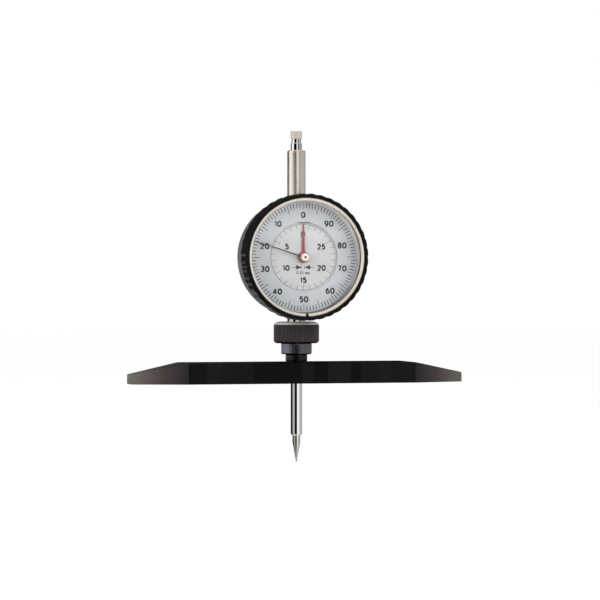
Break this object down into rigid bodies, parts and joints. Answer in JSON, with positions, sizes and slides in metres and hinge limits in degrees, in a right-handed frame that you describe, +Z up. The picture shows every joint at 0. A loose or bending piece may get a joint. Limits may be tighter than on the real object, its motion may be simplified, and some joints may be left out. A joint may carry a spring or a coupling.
{
  "type": "depth gauge",
  "caption": "Bridge depth gauge: a dial indicator with a needle contact point, clamped by its stem on a long tapered base bar.",
  "frame": {"origin": "where the stem axis meets the measuring face under the base bar", "axes": "+Z up along the stem, X along the base bar, -Y the side on which the dial is read"},
  "size_m": [0.15, 0.0324, 0.1455],
  "materials": {
    "bar": "black oxide on ground steel",
    "blued_steel": "blued turned steel",
    "nut": "black oxide, straight knurl",
    "case": "satin dark grey lacquer",
    "steel": "machined",
    "nickel": "satin nickel",
    "pale_nickel": "pale nickel, fine turned",
    "polished_steel": "ground and polished",
    "bronze": "bearing bronze",
    "brass": "brushed brass",
    "dark_plate": "blackened",
    "blued_spring": "blued spring steel",
    "inner_dial": "silvered dial, printed",
    "outer_dial": "silvered dial, printed",
    "slope": "satin",
    "bezel": "black, moulded scallops",
    "crystal": "clear flat",
    "black_lacquer": "black lacquer",
    "red_lacquer": "red lacquer",
    "cap": "pale plated"
  },
  "bodies": {
    "base": {"base_bar": "bar", "clamp_socket": "blued_steel"},
    "nut": {"clamp_nut": "nut"},
    "collet": {"collet": "steel"},
    "gauge": {"case": "case", "back_cover": "case", "cover_screws": "steel", "stem": "nickel", "lower_bush": "bronze", "guide_tube": "nickel", "upper_bush": "bronze", "main_plate": "brass", "case_screws": "steel", "front_plate": "dark_plate", "pillars": "brass", "plate_screws": "steel", "rear_bridge": "brass", "arbor_bushes": "bronze", "guide_rail": "steel", "rail_screws": "steel", "spring_anchor": "steel", "return_spring": "steel", "hairspring": "blued_spring", "hairspring_stud": "steel", "inner_dial": "inner_dial"},
    "bezel": {"bezel": "bezel", "snap_wire": "steel", "outer_dial": "outer_dial", "slope_ring": "slope", "crystal": "crystal", "split_ring": "pale_nickel"},
    "plunger": {"plunger": "polished_steel", "plunger_cap": "nickel", "contact_point": "polished_steel", "guide_pin": "steel"},
    "rack_gear": {"rack_pinion": "steel", "rack_wheel": "brass", "count_pinion": "brass"},
    "long_hand": {"centre_arbor": "steel", "long_hand_blade": "black_lacquer", "hub_cap": "cap"},
    "short_hand": {"count_wheel": "brass", "short_hand_blade": "red_lacquer"},
    "hair_gear": {"hairspring_arbor": "steel", "hairspring_wheel": "brass"}
  },
  "joints": [
    {"name": "nut_turn", "type": "hinge", "parent": "base", "child": "nut", "pos_m": [0, 0, 0.02], "axis": [0, 0, 1], "range_deg": [0, 180]},
    {"name": "gauge_swivel", "type": "hinge", "parent": "base", "child": "collet", "pos_m": [0, 0, 0.02], "axis": [0, 0, 1], "continuous": true},
    {"name": "gauge_height", "type": "slide", "parent": "collet", "child": "gauge", "axis": [0, 0, 1], "range_m": [0, 0.015]},
    {"name": "bezel_turn", "type": "hinge", "parent": "gauge", "child": "bezel", "pos_m": [0, -0.015, 0.0551], "axis": [0, -1, 0], "continuous": true},
    {"name": "plunger_slide", "type": "slide", "parent": "gauge", "child": "plunger", "axis": [0, 0, 1], "range_m": [0, 0.03], "stiffness_N_per_m": 20, "springref_m": -0.05, "deforming": ["return_spring"]},
    {"name": "rack_gear_turn", "type": "hinge", "parent": "gauge", "child": "rack_gear", "pos_m": [-0.00349, 0, 0.06553], "axis": [0, 1, 0], "continuous": true},
    {"name": "long_hand_turn", "type": "hinge", "parent": "gauge", "child": "long_hand", "pos_m": [0, -0.01, 0.0551], "axis": [0, 1, 0], "continuous": true},
    {"name": "short_hand_turn", "type": "hinge", "parent": "gauge", "child": "short_hand", "pos_m": [0, -0.01, 0.0551], "axis": [0, 1, 0], "continuous": true},
    {"name": "hair_gear_turn", "type": "hinge", "parent": "gauge", "child": "hair_gear", "pos_m": [0.00349, 0, 0.04467], "axis": [0, 1, 0], "continuous": true}
  ],
  "couplings": [
    {"joint": "rack_gear_turn", "follows": "plunger_slide", "rad_per_m": -628.32},
    {"joint": "long_hand_turn", "follows": "plunger_slide", "rad_per_m": 6283.2},
    {"joint": "short_hand_turn", "follows": "plunger_slide", "rad_per_m": 209.44},
    {"joint": "hair_gear_turn", "follows": "plunger_slide", "rad_per_m": -628.32}
  ]
}
